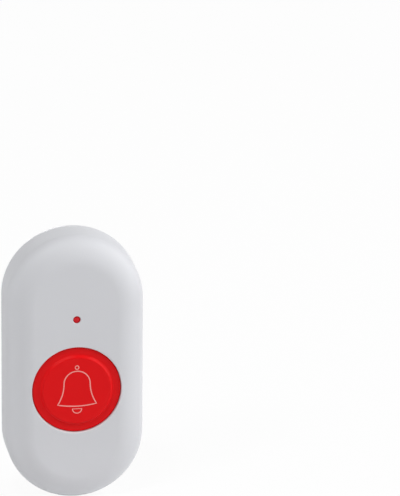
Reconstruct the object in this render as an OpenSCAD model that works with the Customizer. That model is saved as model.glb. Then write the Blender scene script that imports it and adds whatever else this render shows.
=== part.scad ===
// Wireless emergency call button: a pill-shaped case that hangs on a wall, with a large round push button,
// a signal lamp, a radio circuit board and a coin cell.
// Every piece is drawn lying on its back: x across, y up the case, z out of the wall.
// on_wall() then stands it up, so that the front faces -Y and the case's long axis is +Z.

/* [Case] */
// Width of the case across its straight sides
case_w = 40; // [39:0.5:48]
// Height of the case from end to end
case_h = 80; // [76:1:100]
// Wall thickness of the moulded front shell
wall = 2; // [1.6:0.1:2.4]
// Radius of the tight curve where the front runs into the sides
side_round = 4.5; // [3.5:0.1:6]
// Radius of the gentle curve that runs into the flat of the front face
crown_round = 10; // [8:0.5:12]
// Angle from the side at which the tight curve hands over to the gentle one
blend_angle = 50; // [40:1:60]

/* [Rear cover] */
// Thickness of the rear cover's plate
cover_t = 1.8; // [1.4:0.1:2.4]
// Height of the rear cover's outside edge, up to the parting line
cover_rim = 3; // [2.8:0.1:4]
// Radius of the rear cover's rounded edge
cover_round = 2.6; // [1.2:0.1:2.7]
// Thickness of the lip that enters the front shell
lip_t = 1.2; // [1:0.1:1.6]
// Height of the lip above its snap beads
lip_top = 0.6; // [0.4:0.1:1]
// Clearance between the lip and the front shell
lip_gap = 0.2; // [0.1:0.05:0.3]
// Width of the pry notch at the bottom of the case
notch_w = 9; // [6:0.5:14]
// Height of the pry notch
notch_h = 1; // [0.6:0.1:1.4]
// Depth of the pry notch
notch_depth = 1.5; // [1:0.1:1.8]

/* [Seal and snaps] */
// Height of the seal band above the parting line
seal_up = 0.4; // [0.3:0.1:0.8]
// Height of the seal band
seal_h = 1; // [0.8:0.1:1.2]
// Depth of the seal's groove in the lip
seal_groove = 0.6; // [0.4:0.05:0.7]
// Clearance between the seal and the front shell's wall
seal_gap = 0.05; // [0.02:0.01:0.1]
// Distance from the seal band up to the snap beads
bead_up = 0.5; // [0.3:0.1:0.7]
// Distance between the two snap beads on each side
bead_spacing = 22; // [16:1:28]
// Length of each snap bead
bead_l = 7; // [4:0.5:10]
// Height of each snap bead
bead_h = 0.7; // [0.5:0.1:0.8]
// Depth of the snap windows in the front shell
window_depth = 0.4; // [0.3:0.05:0.6]
// Clearance round each snap bead in its window
window_gap = 0.2; // [0.1:0.05:0.4]

/* [Wall fixing] */
// Distance between the two wall screw holes
screw_spacing = 58; // [50:1:64]
// Diameter of the wall screw holes
screw_hole_d = 4; // [3.4:0.1:4.6]
// Diameter of the countersinks for the wall screws' heads
screw_head_d = 7.4; // [6.6:0.1:8]
// Diameter of the bosses round the wall screw holes
screw_boss_d = 10; // [9:0.5:12]
// Height of those bosses above the plate
screw_boss_h = 0.8; // [0.4:0.1:1]
// Width of the adhesive pad
pad_w = 24; // [18:0.5:28]
// Height of the adhesive pad
pad_h = 40; // [30:1:46]
// Thickness of the adhesive pad
pad_t = 0.8; // [0.5:0.1:1.2]

/* [Button] */
// Diameter of the push button
button_d = 25.6; // [22:0.2:28]
// Distance of the push button's centre below the middle of the case
button_drop = 5.5; // [4:0.1:8]
// Clearance round the push button
button_gap = 0.2; // [0.1:0.05:0.4]
// Travel of the push button
button_travel = 1; // [0.6:0.1:1.2]
// Diameter of the flat raised disc
disc_d = 19.4; // [18:0.2:20]
// Width of the soft step round the raised disc
step_w = 1.2; // [1.1:0.1:1.8]
// How far the raised disc stands out of the front face
disc_proud = 0.2; // [0.1:0.1:0.4]
// How far the outer ring lies below the front face
ring_sink = 0.6; // [0.3:0.1:0.6]
// Radius of the push button's outer edge
button_edge = 0.4; // [0.2:0.05:0.6]
// Wall thickness of the push button
cap_t = 1.6; // [1.4:0.1:2]
// Height of the push button's skirt below the outer ring
skirt_h = 4.6; // [4.2:0.1:5]
// How far the retaining hooks reach out of the skirt
hook_reach = 0.8; // [0.5:0.1:1]
// Height of the retaining hooks
hook_h = 1; // [0.8:0.1:1.4]
// Angle that each retaining hook spans
hook_span = 30; // [20:1:40]
// Clearance round the retaining hooks
hook_gap = 0.1; // [0.05:0.05:0.2]
// Angle of play at each side of a retaining hook
hook_play = 2; // [1:0.5:4]
// Number of retaining hooks
hook_count = 3; // [2:1:4]
// Wall thickness of the collar that guides the push button
collar_t = 1.5; // [1.2:0.1:2]
// Bevel round the opening for the push button
opening_bevel = 0.35; // [0.2:0.05:0.5]
// Diameter of the post that presses the dome
post_d = 7; // [5:0.2:8]
// Length of that post
post_h = 1.2; // [1:0.1:2]

/* [Bell symbol] */
// Radius of the bell's round top
bell_top_r = 3.8; // [3.4:0.05:4.2]
// Height of the centre of the round top above the button's centre
bell_top_y = 2.1; // [1.5:0.05:2.4]
// Half the width of the bell's mouth
bell_mouth = 5.65; // [5:0.05:5.9]
// Height of the mouth's corners below the button's centre
bell_drop = 4.2; // [3.8:0.05:4.6]
// Sag of the mouth's line below its corners
bell_sag = 0.6; // [0.4:0.05:1]
// Width of the symbol's line
line_w = 0.4; // [0.35:0.05:0.6]
// Depth of the symbol's inlay
inlay_depth = 0.3; // [0.2:0.05:0.5]
// Height of the inlay above the raised disc
inlay_proud = 0.04; // [0.02:0.01:0.08]
// Clearance round the inlay
inlay_gap = 0.02; // [0.01:0.01:0.04]
// Width of the line of the hanging loop and of the clapper
thin_line_w = 0.32; // [0.3:0.02:0.45]
// Radius of the hanging loop's line
loop_r = 0.53; // [0.45:0.02:0.6]
// Gap between the hanging loop and the bell
loop_gap = 0.22; // [0.1:0.02:0.3]
// Radius of the clapper's line
clapper_r = 1.35; // [1.2:0.05:1.6]
// Gap between the clapper and the bell
clapper_gap = 0.44; // [0.1:0.02:0.6]

/* [Signal lamp] */
// Diameter of the lamp's lens
lamp_d = 2.1; // [1.6:0.1:3]
// Height of the lamp above the middle of the case
lamp_rise = 15.9; // [14.5:0.1:17.5]
// Clearance round the lens
lamp_gap = 0.05; // [0.03:0.01:0.1]
// How far the lens lies below the front face
lamp_sink = 0.15; // [0.05:0.05:0.3]
// How far the lens's flange reaches out of its stem
lamp_flange = 0.8; // [0.5:0.1:1.2]
// Thickness of the lens's flange
lamp_flange_t = 0.8; // [0.6:0.1:1.2]
// Wall thickness of the sleeve that holds the lens
lamp_sleeve_t = 1; // [0.8:0.1:1.4]
// Gap between the lens and the diode
lamp_air = 0.3; // [0.2:0.1:0.6]

/* [Circuit board] */
// Thickness of the circuit board
board_t = 1.2; // [1:0.1:1.6]
// Clearance between the board and the rear cover's lip
board_gap = 0.5; // [0.3:0.1:0.8]
// Diameter of the posts that carry the board
board_post_d = 4.8; // [4.4:0.1:5.4]
// Distance of those posts from the board's long edge
board_post_inset = 4.6; // [4:0.1:5]
// Distance of those posts past the end of the straight sides
board_post_past = 5; // [4:0.5:6]
// Diameter of the board screws' shanks
board_screw_d = 1.9; // [1.6:0.1:2.2]
// Length of the board screws' shanks
board_screw_l = 5; // [4:0.5:5.5]
// Diameter of the board screws' heads
board_head_d = 3.8; // [3.4:0.1:4.2]
// Height of the board screws' heads
board_head_h = 1.3; // [1:0.1:1.6]
// Width of the cross recess in the board screws' heads
recess_w = 2.4; // [2:0.1:2.8]
// Width of the slots of that recess
recess_slot = 0.6; // [0.4:0.05:0.8]
// Depth of that recess
recess_depth = 0.7; // [0.5:0.1:0.8]
// Room past the board screws' tips
screw_tip_gap = 0.3; // [0.2:0.1:0.5]
// Clearance of the board screws in the board
board_screw_gap = 0.2; // [0.1:0.05:0.3]
// Clearance of the board screws in their posts
thread_gap = 0.02; // [0.01:0.01:0.04]

/* [Switch and dome] */
// Side of the square switch
switch_w = 6; // [5.6:0.1:6.2]
// Height of the switch's housing
switch_body_h = 3; // [2.8:0.1:3.4]
// Thickness of the switch's steel cover
switch_cover_t = 0.3; // [0.2:0.05:0.4]
// Height of the plunger above the steel cover
plunger_h = 1; // [0.8:0.1:1.4]
// Diameter of the plunger
plunger_d = 3.5; // [3:0.1:3.6]
// Travel of the plunger
plunger_travel = 0.3; // [0.2:0.05:0.35]
// Clearance round the plunger
plunger_gap = 0.1; // [0.05:0.05:0.2]
// Width of the flange that keeps the plunger in
plunger_flange = 0.3; // [0.25:0.05:0.4]
// Thickness of that flange
plunger_flange_t = 0.5; // [0.4:0.05:0.6]
// Clearance between that flange and the steel cover
plunger_flange_gap = 0.05; // [0.03:0.01:0.1]
// Depth of the well for the snap disc below the flange
snap_well = 0.8; // [0.6:0.05:0.9]
// Thickness of the snap disc
snap_t = 0.12; // [0.08:0.02:0.16]
// Clearance between the snap disc and the plunger
snap_gap = 0.02; // [0.01:0.01:0.04]
// Distance between the switch's terminals on one side
terminal_spacing = 4.5; // [4:0.1:4.8]
// Thickness of the switch's terminals
terminal_t = 0.25; // [0.2:0.05:0.3]
// Width of the switch's terminals
terminal_w = 0.7; // [0.5:0.05:0.9]
// Reach of the switch's terminals
terminal_reach = 1.2; // [0.8:0.1:1.4]
// Free travel between the dome and the plunger
dome_free = 0.6; // [0.4:0.1:0.8]
// Thickness of the dome's top
dome_top_t = 0.8; // [0.6:0.1:1.2]
// Diameter of the dome's top
dome_top_d = 9; // [8.4:0.2:10]
// Wall thickness of the dome's cone
dome_wall = 0.7; // [0.5:0.05:0.9]
// Outside diameter of the dome's foot
dome_foot_d = 16; // [15:0.2:18]
// Inside diameter of the dome's foot
dome_bore_d = 12; // [11.6:0.2:13]
// Thickness of the dome's foot
dome_foot_t = 1; // [0.8:0.1:1.2]
// Gap between the post and the dome
dome_gap = 0.05; // [0.02:0.01:0.1]

/* [Coin cell] */
// Diameter of the coin cell
cell_d = 20; // [16:0.5:20.5]
// Thickness of the coin cell
cell_t = 3.2; // [2.5:0.1:3.6]
// Height of the cell's centre above the middle of the case
cell_rise = 8; // [7:0.5:9]
// Clearance round the cell
cell_gap = 0.15; // [0.1:0.05:0.3]
// Wall thickness of the cell's holder
holder_t = 1.4; // [1:0.1:1.6]
// Thickness of the holder's floor
holder_floor = 0.5; // [0.4:0.1:0.8]
// How far the holder's wall stays below the cell's face
holder_low = 0.5; // [0.3:0.1:0.8]
// Width of the thumb slot in the holder's wall
thumb_slot = 8; // [6:0.5:10]
// Thickness of the sheet metal contacts
contact_t = 0.25; // [0.2:0.05:0.3]
// Width of the contacts
contact_w = 5; // [4:0.5:6]
// Distance of the negative contact's ends inside the cell's edge
negative_inset = 3; // [2.5:0.1:4]
// Distance of the positive contact inside the holder's outer face
contact_inset = 0.3; // [0.2:0.05:0.5]
// Clearance at each side of the positive contact
contact_gap = 0.2; // [0.1:0.05:0.3]
// Reach of the positive contact over the cell's face
contact_reach = 3; // [2:0.5:4]
// Space between the cell's contact and the rear cover
cell_spare = 0.35; // [0.3:0.05:0.6]
// Thickness of the cell can's bottom
cell_can_t = 0.5; // [0.3:0.05:0.6]
// Height of the cell's raised negative cap
cell_cap_h = 0.4; // [0.3:0.05:0.6]
// Width of the rim round the negative cap
cell_rim = 1.2; // [1:0.1:1.6]
// Width of the cell's black sealing ring
cell_ring = 0.4; // [0.3:0.05:0.5]

/* [Radio parts] */
// Length of the coding chip
chip_l = 4.9; // [4.6:0.1:5.2]
// Width of the coding chip
chip_w = 3.9; // [3.6:0.1:4.2]
// Height of the coding chip
chip_h = 1.5; // [1.2:0.1:1.7]
// Distance between the chip's leads
chip_pitch = 1.27; // [1.1:0.01:1.3]
// Width of the chip's and the transistor's leads
lead_w = 0.4; // [0.3:0.05:0.5]
// Thickness of those leads
lead_t = 0.2; // [0.15:0.05:0.25]
// Length of the chip leads' feet
lead_foot = 1; // [0.8:0.1:1.2]
// Gap between the chips and the board
chip_lift = 0.1; // [0.05:0.05:0.2]
// Length of the transistor
transistor_l = 2.9; // [2.7:0.1:3.1]
// Width of the transistor
transistor_w = 1.3; // [1.1:0.1:1.5]
// Height of the transistor
transistor_h = 1; // [0.8:0.1:1.2]
// Distance between the transistor's two leads on one side
transistor_pitch = 1.9; // [1.7:0.1:2.1]
// Length of the transistor's leads
transistor_lead = 0.6; // [0.5:0.1:0.8]
// Diameter of the resonator's can
resonator_d = 8.2; // [7.6:0.1:8.6]
// Height of the resonator's can
resonator_h = 2.8; // [2.4:0.1:3]
// Width of the resonator's base flange
resonator_flange = 0.5; // [0.3:0.1:0.6]
// Thickness of the resonator's base
resonator_base_t = 0.4; // [0.3:0.05:0.6]
// Radius of the resonator can's edge
resonator_edge = 0.5; // [0.3:0.05:0.8]
// Length of the small chip parts
smd_l = 1.6; // [1.4:0.1:1.8]
// Width of the small chip parts
smd_w = 0.8; // [0.7:0.05:0.9]
// Height of the small chip parts
smd_h = 0.6; // [0.5:0.05:0.8]
// Length of the metal end caps on the small chip parts
smd_cap = 0.4; // [0.3:0.05:0.5]
// Distance of the row of capacitors from the board's long edge
capacitor_inset = 3.9; // [3.4:0.1:4.2]
// Distance of the first capacitor below the middle of the case
capacitor_drop = 8; // [7:0.5:9]
// Distance from capacitor to capacitor
capacitor_pitch = 2.6; // [2:0.1:2.8]
// Distance of the row of resistors below the middle of the case
resistor_drop = 6.5; // [6:0.1:7]
// Distance of the middle of that row left of the middle of the case
resistor_left = 2; // [1:0.5:3]
// Distance from resistor to resistor
resistor_pitch = 3; // [2.6:0.1:3.2]
// Mean radius of the antenna coil
coil_r = 1.35; // [1.2:0.05:1.4]
// Diameter of the antenna wire
coil_wire = 0.5; // [0.4:0.05:0.55]
// Distance from turn to turn of the antenna coil
coil_pitch = 1.1; // [1.05:0.05:1.15]
// Whole turns of the antenna coil, which ends half a turn later
coil_turns = 11; // [8:1:12]
// Distance of the antenna coil from the board's long edge
coil_inset = 1; // [0.6:0.1:1.2]
// Distance of the antenna coil's lower end below the middle of the case
coil_drop = 20; // [19:0.5:21]
// Gap between the antenna coil and the board
coil_air = 0.3; // [0.2:0.05:0.4]
// Length of the signal diode
led_l = 3.2; // [2.8:0.1:3.4]
// Width of the signal diode
led_w = 2.7; // [2.4:0.1:2.8]
// Height of the signal diode
led_h = 1.8; // [1.4:0.1:2]
// Diameter of the diode's window at its mouth
led_window_d = 2.3; // [2:0.1:2.3]
// Diameter of the diode's window at its foot
led_foot_d = 1.5; // [1.2:0.1:1.8]
// Depth of the diode's window
led_depth = 1.2; // [0.8:0.1:1.3]

/* [Hidden] */
$fn = 96;

// Levels above the wall, from the adhesive pad out to the front face
cover_in_z = pad_t + cover_t;
cell_back_z = cover_in_z + cell_spare + contact_t;
cell_front_z = cell_back_z + cell_t;
holder_floor_z = cell_front_z + contact_t;
board_back_z = holder_floor_z + holder_floor;
board_front_z = board_back_z + board_t;
switch_top_z = board_front_z + switch_body_h;
switch_lid_z = switch_top_z + switch_cover_t;
plunger_top_z = switch_lid_z + plunger_h;
dome_under_z = plunger_top_z + dome_free;
dome_top_z = dome_under_z + dome_top_t;
post_end_z = dome_top_z + dome_gap;
cap_under_z = post_end_z + post_h;
disc_z = cap_under_z + cap_t;
face_z = disc_z - disc_proud;
ring_z = face_z - ring_sink;
parting_z = pad_t + cover_rim;
seal_z = parting_z + seal_up;
bead_z = seal_z + seal_h + bead_up;
lip_z = bead_z + bead_h + lip_top;

// Plan of the case
case_r = case_w / 2;
straight = (case_h - case_w) / 2;
inner_r = case_r - wall;
lip_out_r = inner_r - lip_gap;
lip_in_r = lip_out_r - lip_t;
board_r = lip_in_r - board_gap;
post_x = board_r - board_post_inset;
post_y = straight + board_post_past;
BOARD_POSTS = [for (sx = [-1, 1], sy = [-1, 1]) [sx * post_x, sy * post_y]];
SCREW_HOLES = [for (sy = [-1, 1]) [0, sy * screw_spacing / 2]];
sink_h = (screw_head_d - screw_hole_d) / 2;

// Centres of the two curves of the front edge
curve_step = crown_round - side_round;
side_x = case_r - side_round;
crown_x = side_x - curve_step * cos(blend_angle);
crown_z = face_z - crown_round;
side_z = crown_z + curve_step * sin(blend_angle);

// Push button, its collar and its hooks
button_y = -button_drop;
button_r = button_d / 2;
opening_r = button_r + button_gap;
collar_r = opening_r + collar_t;
skirt_z = ring_z - skirt_h;
hook_top_z = skirt_z + hook_h;
catch_z = hook_top_z + hook_gap;
HOOK_ANGLES = [for (i = [0 : hook_count - 1]) 90 + i * 360 / hook_count];
step_r = disc_d / 2 + step_w;
step_h = disc_z - ring_z;
step_turn = 2 * atan(step_h / step_w);
step_arc = step_w / 2 / sin(step_turn);

// Seat of the lamp's lens
lamp_seat_r = lamp_d / 2 + lamp_flange + lamp_gap;
lamp_seat_z = face_z - wall - lamp_flange_t;

// Snap beads on the lip, as side and height
BEAD_SPOTS = [for (sx = [-1, 1], sy = [-1, 1]) [sx, sy * bead_spacing / 2]];

// Switch
plunger_flange_z = switch_top_z - plunger_flange_t - plunger_flange_gap;
snap_floor_z = plunger_flange_z - snap_well;
well_r = plunger_d / 2 + plunger_flange + plunger_gap;

// Coin cell and its holder
holder_in_r = cell_d / 2 + cell_gap;
holder_out_r = holder_in_r + holder_t;
cell_inner_r = cell_d / 2 - cell_rim;
cell_cap_r = cell_inner_r - cell_ring;
cell_rim_z = cell_front_z - cell_cap_h;
cell_floor_z = cell_back_z + cell_can_t;

// Places of the radio parts on the back of the board
CHIP_AT = [-7, -13];
RESONATOR_AT = [5, -15];
TRANSISTOR_AT = [-2, -21];
CAPACITORS = [for (i = [0 : 3]) [capacitor_inset - board_r, -capacitor_drop - i * capacitor_pitch]];
RESISTORS = [for (i = [-1.5 : 1.5]) [i * resistor_pitch - resistor_left, -resistor_drop]];
antenna_x = board_r - coil_inset - coil_wire / 2 - coil_r;
antenna_z = board_back_z - coil_air - coil_wire / 2 - coil_r;
COIL_SIDES = 6;
COIL_STEPS = 12;
coil_end = coil_turns * 360 + 180;

// How far a cut runs past the face that it opens, and a hair of overlap or clearance
over = 1;
hair = 0.01;

// Stands a piece up against the wall
module on_wall() rotate([90, 0, 0]) children();

// Carries an outline of radius and height round both ends of the pill and along its straight sides
module pill() {
    for (end = [0, 180])
        rotate([0, 0, end]) translate([0, straight, 0]) rotate_extrude(angle = 180) children();
    rotate([90, 0, 0]) linear_extrude(2 * straight, center = true) {
        children();
        mirror([1, 0]) children();
    }
}

module slab(r, z0, z1) pill() translate([0, z0]) square([r, z1 - z0]);

module band(r0, r1, z0, z1) pill() translate([r0, z0]) square([r1 - r0, z1 - z0]);

// A pill of another size than the case
module oblong(r, half, z0, z1) translate([0, 0, z0]) linear_extrude(z1 - z0) {
    square([2 * r, 2 * half], center = true);
    for (s = [-1, 1]) translate([0, s * half]) circle(r);
}

module rod(r, z0, z1) translate([0, 0, z0]) cylinder(r = r, h = z1 - z0);

module tube(r0, r1, z0, z1) difference() {
    rod(r1, z0, z1);
    rod(r0, z0 - over, z1 + over);
}

// A box from z0 to z1, centred across and along
module block(size, z0, z1) translate([-size[0] / 2, -size[1] / 2, z0]) cube([size[0], size[1], z1 - z0]);

module at(places) for (p = places) translate([p[0], p[1], 0]) children();

// Front shell

// Half of the front shell's cross-section, taken in all round by an inset
module front_outline(inset) {
    tight = side_round - inset;
    gentle = crown_round - inset;
    top = face_z - inset;
    hand_x = side_x + tight * cos(blend_angle);
    floor_z = parting_z - (inset > 0 ? over : 0);
    translate([0, floor_z]) square([crown_x, top - floor_z]);
    intersection() {
        translate([crown_x, crown_z]) circle(gentle);
        translate([crown_x, floor_z]) square([hand_x - crown_x, top - floor_z]);
    }
    translate([hand_x, floor_z]) square([case_r - inset - hand_x, side_z - floor_z]);
    intersection() {
        translate([side_x, side_z]) circle(tight);
        translate([hand_x, side_z]) square([case_r - inset - hand_x, tight]);
    }
}

// Ring that guides the push button, with windows that its hooks sit in
module button_collar() difference() {
    rod(collar_r, skirt_z - hook_gap, face_z - wall / 2);
    for (a = HOOK_ANGLES)
        rotate([0, 0, a - hook_span / 2 - hook_play]) rotate_extrude(angle = hook_span + 2 * hook_play)
            translate([opening_r - over, skirt_z - over])
                square([collar_t + 2 * over, catch_z - skirt_z + over]);
}

module snap_windows() {
    reach = inner_r + window_depth;
    for (p = BEAD_SPOTS)
        translate([p[0] * reach / 2, p[1], 0])
            block([reach, bead_l + 2 * window_gap], bead_z - window_gap, bead_z + bead_h + window_gap);
}

module front_shell() color("whitesmoke") on_wall() difference() {
    union() {
        difference() {
            pill() front_outline(0);
            pill() front_outline(wall);
            snap_windows();
        }
        translate([0, button_y, 0]) button_collar();
        at(BOARD_POSTS) rod(board_post_d / 2, board_front_z, face_z - wall / 2);
        translate([0, lamp_rise, 0]) rod(lamp_seat_r + lamp_sleeve_t, lamp_seat_z, face_z - wall / 2);
    }
    translate([0, button_y, 0]) {
        rod(opening_r, skirt_z - over, face_z + over);
        translate([0, 0, face_z - opening_bevel])
            cylinder(r1 = opening_r, r2 = opening_r + 2 * opening_bevel, h = 2 * opening_bevel);
    }
    translate([0, lamp_rise, 0]) {
        rod(lamp_d / 2 + lamp_gap, face_z - wall - over, face_z + over);
        rod(lamp_seat_r, lamp_seat_z - over, face_z - wall);
    }
    at(BOARD_POSTS)
        rod(board_screw_d / 2 + thread_gap, board_front_z - over, board_back_z + board_screw_l + screw_tip_gap);
}

module lamp_lens() color("red") on_wall() translate([0, lamp_rise, 0]) {
    rod(lamp_d / 2, board_front_z + led_h + lamp_air, face_z - lamp_sink);
    rod(lamp_d / 2 + lamp_flange, lamp_seat_z, face_z - wall);
}

// Rear cover and what is on it

module cover_outline() {
    translate([0, pad_t]) square([case_r - cover_round, cover_rim]);
    translate([0, pad_t + cover_round]) square([case_r, cover_rim - cover_round]);
    translate([case_r - cover_round, pad_t + cover_round]) intersection() {
        circle(cover_round);
        translate([0, -cover_round]) square(cover_round);
    }
}

module rear_cover() color("whitesmoke") on_wall() difference() {
    union() {
        difference() {
            union() {
                pill() cover_outline();
                slab(lip_out_r, parting_z - hair, lip_z);
            }
            slab(lip_in_r, cover_in_z, lip_z + over);
            band(lip_out_r - seal_groove, lip_out_r + over, seal_z, seal_z + seal_h);
        }
        at(SCREW_HOLES) rod(screw_boss_d / 2, cover_in_z - cover_t / 2, cover_in_z + screw_boss_h);
        for (p = BEAD_SPOTS)
            translate([p[0] * (lip_out_r - lip_t / 2), p[1], 0])
                block([lip_t + 2 * (lip_gap - seal_gap), bead_l], bead_z, bead_z + bead_h);
    }
    at(SCREW_HOLES) {
        rod(screw_hole_d / 2, pad_t - over, cover_in_z + screw_boss_h + over);
        translate([0, 0, cover_in_z + screw_boss_h - sink_h])
            cylinder(d1 = screw_hole_d, d2 = screw_head_d + 2 * over, h = sink_h + over);
    }
    translate([0, -case_h / 2, 0]) block([notch_w, 2 * notch_depth], parting_z - notch_h, parting_z + hair);
}

module case_seal() color("dimgray") on_wall()
    band(lip_out_r - seal_groove, inner_r - seal_gap, seal_z, seal_z + seal_h);

module adhesive_pad() color("lightgray") on_wall() oblong(pad_w / 2, (pad_h - pad_w) / 2, 0, pad_t);

// Push button

// Half of the push button's upper surface: raised disc, soft step and outer ring
module button_outline() {
    low = ring_z - cap_t;
    mid_r = disc_d / 2 + step_w / 2;
    mid_z = ring_z + step_h / 2;
    translate([0, low]) square([disc_d / 2, disc_z - low]);
    translate([disc_d / 2, low]) square([step_w / 2, mid_z - low]);
    intersection() {
        translate([disc_d / 2, disc_z - step_arc]) circle(step_arc);
        translate([disc_d / 2, mid_z]) square([step_w / 2, step_h / 2]);
    }
    difference() {
        translate([mid_r, low]) square([step_w / 2, mid_z - low]);
        translate([step_r, ring_z + step_arc]) circle(step_arc);
    }
    translate([step_r, low]) square([button_r - button_edge - step_r, ring_z - low]);
    translate([button_r - button_edge, low]) square([button_edge, cap_t - button_edge]);
    intersection() {
        translate([button_r - button_edge, ring_z - button_edge]) circle(button_edge);
        translate([button_r - button_edge, ring_z - button_edge]) square(button_edge);
    }
}

module button_cap() color("crimson") on_wall() translate([0, button_y, 0]) {
    difference() {
        union() {
            rotate_extrude() button_outline();
            tube(button_r - cap_t, button_r, skirt_z, ring_z - cap_t / 2);
        }
        rod(disc_d / 2 - cap_t, ring_z - cap_t - over, cap_under_z);
        translate([0, 0, disc_z - inlay_depth]) linear_extrude(inlay_depth + over) bell_lines(0);
    }
    rod(post_d / 2, post_end_z, cap_under_z + cap_t / 4);
    for (a = HOOK_ANGLES)
        rotate([0, 0, a - hook_span / 2]) rotate_extrude(angle = hook_span)
            translate([button_r - cap_t / 2, skirt_z]) square([cap_t / 2 + hook_reach, hook_h]);
}

// The bell's filled shape, grown all round by an offset
module bell_shape(grow) {
    run = bell_mouth - bell_top_r;
    fall = bell_top_y + bell_drop;
    flare_r = (run * run + fall * fall) / (2 * run);
    mouth_r = (bell_mouth * bell_mouth + bell_sag * bell_sag) / (2 * bell_sag);
    intersection() {
        translate([0, bell_top_y]) circle(bell_top_r + grow);
        translate([-2 * bell_top_r, bell_top_y]) square([4 * bell_top_r, 2 * bell_top_r]);
    }
    intersection() {
        difference() {
            translate([-bell_mouth - over, -bell_drop - bell_sag - over])
                square([2 * (bell_mouth + over), fall + bell_sag + over]);
            for (s = [-1, 1]) translate([s * (bell_top_r + flare_r), bell_top_y]) circle(flare_r - grow);
        }
        translate([0, mouth_r - bell_drop - bell_sag]) circle(mouth_r + grow);
    }
}

module half_disc(r, grow) intersection() {
    circle(r + grow);
    translate([-2 * r, -2 * r]) square([4 * r, 2 * r + grow]);
}

// The bell symbol's lines, made narrower all round by a gap
module bell_lines(gap) {
    half = line_w / 2 - gap;
    thin_half = thin_line_w / 2 - gap;
    loop_y = bell_top_y + bell_top_r + line_w / 2 + loop_gap + thin_line_w / 2 + loop_r;
    clapper_y = -bell_drop - bell_sag - line_w / 2 - clapper_gap - thin_line_w / 2;
    difference() {
        bell_shape(half);
        bell_shape(-half);
    }
    translate([0, loop_y]) difference() {
        circle(loop_r + thin_half);
        circle(loop_r - thin_half);
    }
    translate([0, clapper_y]) difference() {
        half_disc(clapper_r, thin_half);
        half_disc(clapper_r, -thin_half);
    }
}

module bell_symbol() color("mistyrose") on_wall() translate([0, button_y, disc_z - inlay_depth])
    linear_extrude(inlay_depth + inlay_proud) bell_lines(inlay_gap);

// Silicone dome that returns the button and keeps water off the switch
module return_dome() color("gainsboro") on_wall() translate([0, button_y, 0]) rotate_extrude() polygon([
    [dome_bore_d / 2, board_front_z],
    [dome_foot_d / 2, board_front_z],
    [dome_foot_d / 2, board_front_z + dome_foot_t],
    [dome_bore_d / 2 + dome_wall, board_front_z + dome_foot_t],
    [dome_top_d / 2, dome_under_z],
    [dome_top_d / 2, dome_top_z],
    [0, dome_top_z],
    [0, dome_under_z],
    [dome_top_d / 2 - dome_wall, dome_under_z],
    [dome_bore_d / 2, board_front_z + dome_foot_t]
]);

// Circuit board and its fasteners

module circuit_board() color("darkgreen") on_wall() difference() {
    slab(board_r, board_back_z, board_front_z);
    at(BOARD_POSTS) rod(board_screw_d / 2 + board_screw_gap, board_back_z - over, board_front_z + over);
}

module board_screw() {
    head_z = board_back_z - board_head_h;
    difference() {
        rod(board_head_d / 2, head_z, board_back_z);
        for (turn = [0, 90])
            rotate([0, 0, turn]) block([recess_w, recess_slot], head_z - over, head_z + recess_depth);
    }
    rod(board_screw_d / 2, board_back_z - hair, board_back_z + board_screw_l);
}

module board_screws() color("silver") on_wall() at(BOARD_POSTS) board_screw();

// Tactile switch under the button

module switch_housing() color("dimgray") on_wall() translate([0, button_y, 0]) difference() {
    block([switch_w, switch_w], board_front_z, switch_top_z);
    rod(well_r, snap_floor_z, switch_top_z + over);
}

module switch_cover() color("silver") on_wall() translate([0, button_y, 0]) difference() {
    block([switch_w, switch_w], switch_top_z, switch_lid_z);
    rod(plunger_d / 2 + plunger_gap, switch_top_z - over, switch_lid_z + over);
}

module switch_plunger() color("black") on_wall() translate([0, button_y, 0]) {
    rod(plunger_d / 2, plunger_flange_z, plunger_top_z);
    rod(plunger_d / 2 + plunger_flange, plunger_flange_z, plunger_flange_z + plunger_flange_t);
}

// Bowed steel disc that clicks
module snap_disc() color("goldenrod") on_wall() translate([0, button_y, 0]) {
    rim = well_r - plunger_gap;
    rise = snap_well - snap_t - snap_gap;
    bow = (rim * rim + rise * rise) / (2 * rise);
    translate([0, 0, snap_floor_z]) rotate_extrude() intersection() {
        difference() {
            translate([0, rise - bow + snap_t]) circle(bow);
            translate([0, rise - bow]) circle(bow);
        }
        square([rim, 2 * snap_well]);
    }
}

module switch_terminals() color("silver") on_wall() translate([0, button_y, 0])
    for (sx = [-1, 1], sy = [-1, 1])
        translate([sx * (switch_w + terminal_reach) / 2, sy * terminal_spacing / 2, 0])
            block([terminal_reach, terminal_w], board_front_z, board_front_z + terminal_t);

// Signal diode under the lamp's lens

module signal_diode() color("white") on_wall() translate([0, lamp_rise, board_front_z]) difference() {
    block([led_l, led_w], 0, led_h);
    translate([0, 0, led_h - led_depth]) cylinder(d1 = led_foot_d, d2 = led_window_d, h = led_depth + hair);
}

module diode_window() color("khaki") on_wall() translate([0, lamp_rise, board_front_z + led_h - led_depth])
    cylinder(d1 = led_foot_d - 2 * hair, d2 = led_window_d - 2 * hair, h = led_depth);

// Coin cell, its holder and its contacts

module cell_holder() color("black") on_wall() translate([0, cell_rise, 0]) difference() {
    rod(holder_out_r, cell_back_z + holder_low, board_back_z);
    rod(holder_in_r, cell_back_z - over, holder_floor_z);
    // Thumb slot for pushing the cell out, and the seat of the positive contact opposite it
    for (s = [-1, 1])
        translate([0, s * holder_out_r, 0])
            block([s < 0 ? thumb_slot : contact_w + 2 * contact_gap, 2 * holder_t + over],
                cell_back_z - over, holder_floor_z);
}

// Sheet metal strip under the cell
module negative_contact() color("gold") on_wall() translate([0, cell_rise, 0])
    block([contact_w, cell_d - 2 * negative_inset], cell_front_z + hair, holder_floor_z);

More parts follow.
